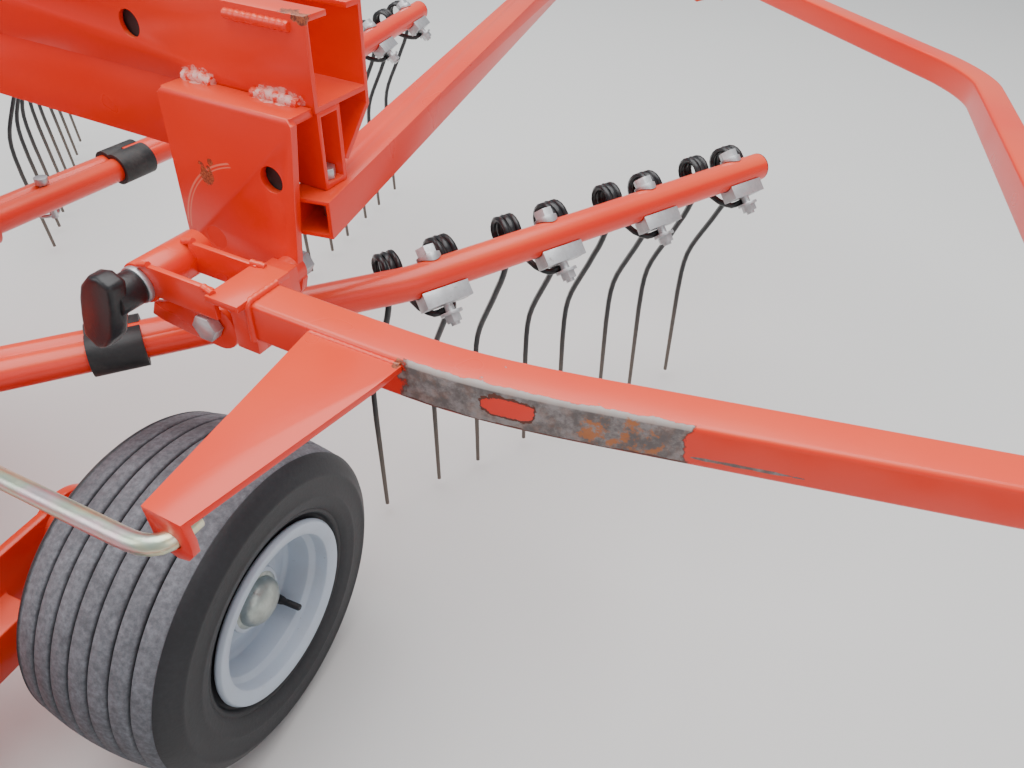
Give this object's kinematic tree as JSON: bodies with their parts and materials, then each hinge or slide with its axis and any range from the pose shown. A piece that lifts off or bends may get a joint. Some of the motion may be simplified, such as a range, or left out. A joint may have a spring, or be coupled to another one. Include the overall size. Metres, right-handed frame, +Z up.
{
  "type": "hay rake rotor unit",
  "caption": "Rotor unit of a twin rotor hay rake: tined rotor with cranked arms on tandem wheels, carrier beam and folding guard hoop.",
  "frame": {"origin": "centre of the unit's outline, on the ground", "axes": "+Z up, +X outward along the wheel axles, +Y in the direction of travel"},
  "size_m": [3.4094, 3.541, 0.8819],
  "materials": {
    "red_paint": "semi-gloss",
    "zinc_plate": "satin",
    "black_rubber": "matte",
    "spring_steel": "satin",
    "tyre_rubber": "matte",
    "rim_paint": "semi-gloss",
    "black_plastic": "satin"
  },
  "bodies": {
    "frame": {"gearbox": "red_paint", "input_shaft": "zinc_plate", "column": "red_paint", "chassis": "red_paint", "tandem_outer": "red_paint", "tandem_inner": "red_paint", "axles": "zinc_plate", "head_arm": "red_paint", "beam_box": "red_paint", "beam_tube": "red_paint", "end_flange": "red_paint", "hinge_plate": "red_paint", "strut": "red_paint", "far_hinge": "red_paint", "stay_guide": "red_paint", "frame_bolts": "zinc_plate"},
    "rotor": {"rotor_housing": "red_paint", "arm_holders": "red_paint", "arm_collars": "black_rubber", "arm_pins": "zinc_plate", "tine_clamps": "zinc_plate", "tine_arm_01": "red_paint", "tine_arm_02": "red_paint", "tine_arm_03": "red_paint", "tine_arm_04": "red_paint", "tine_arm_05": "red_paint", "tine_arm_06": "red_paint", "tine_arm_07": "red_paint", "tine_arm_08": "red_paint", "tine_arm_09": "red_paint", "tine_arm_10": "red_paint", "tines_01": "spring_steel", "tines_02": "spring_steel", "tines_03": "spring_steel", "tines_04": "spring_steel", "tines_05": "spring_steel", "tines_06": "spring_steel", "tines_07": "spring_steel", "tines_08": "spring_steel", "tines_09": "spring_steel", "tines_10": "spring_steel"},
    "guard": {"guard_hoop": "red_paint", "guard_yoke": "red_paint", "latch_pin": "zinc_plate", "latch_handle": "black_plastic", "far_collar": "red_paint", "guard_bracket": "red_paint"},
    "stay": {"stay_rod": "zinc_plate"},
    "wheel_outer_front": {"tyre_1": "tyre_rubber", "rim_1": "rim_paint"},
    "wheel_outer_rear": {"tyre_2": "tyre_rubber", "rim_2": "rim_paint"},
    "wheel_inner_front": {"tyre_3": "tyre_rubber", "rim_3": "rim_paint"},
    "wheel_inner_rear": {"tyre_4": "tyre_rubber", "rim_4": "rim_paint"}
  },
  "joints": [
    {"name": "rotor_spin", "type": "hinge", "parent": "frame", "child": "rotor", "pos_m": [0, -0.105, 0.504], "axis": [0, 0, 1], "continuous": true},
    {"name": "wheel_outer_front_spin", "type": "hinge", "parent": "frame", "child": "wheel_outer_front", "pos_m": [0.818, 0.155, 0.206], "axis": [1, 0, 0], "continuous": true},
    {"name": "wheel_outer_rear_spin", "type": "hinge", "parent": "frame", "child": "wheel_outer_rear", "pos_m": [0.818, -0.365, 0.206], "axis": [1, 0, 0], "continuous": true},
    {"name": "wheel_inner_front_spin", "type": "hinge", "parent": "frame", "child": "wheel_inner_front", "pos_m": [-0.818, 0.155, 0.206], "axis": [1, 0, 0], "continuous": true},
    {"name": "wheel_inner_rear_spin", "type": "hinge", "parent": "frame", "child": "wheel_inner_rear", "pos_m": [-0.818, -0.365, 0.206], "axis": [1, 0, 0], "continuous": true},
    {"name": "guard_fold", "type": "hinge", "parent": "frame", "child": "guard", "pos_m": [0.89144, 0.20498, 0.603], "axis": [-0.0924, -0.9957, 0], "range_deg": [0, 90]},
    {"name": "stay_swing", "type": "hinge", "parent": "guard", "child": "stay", "pos_m": [1.0375, -0.02851, 0.617], "axis": [-0.0924, -0.9957, 0], "range_deg": [-65, 5]}
  ],
  "couplings": [
    {"joint": "stay_swing", "follows": "guard_fold", "ratio": -0.684}
  ]
}
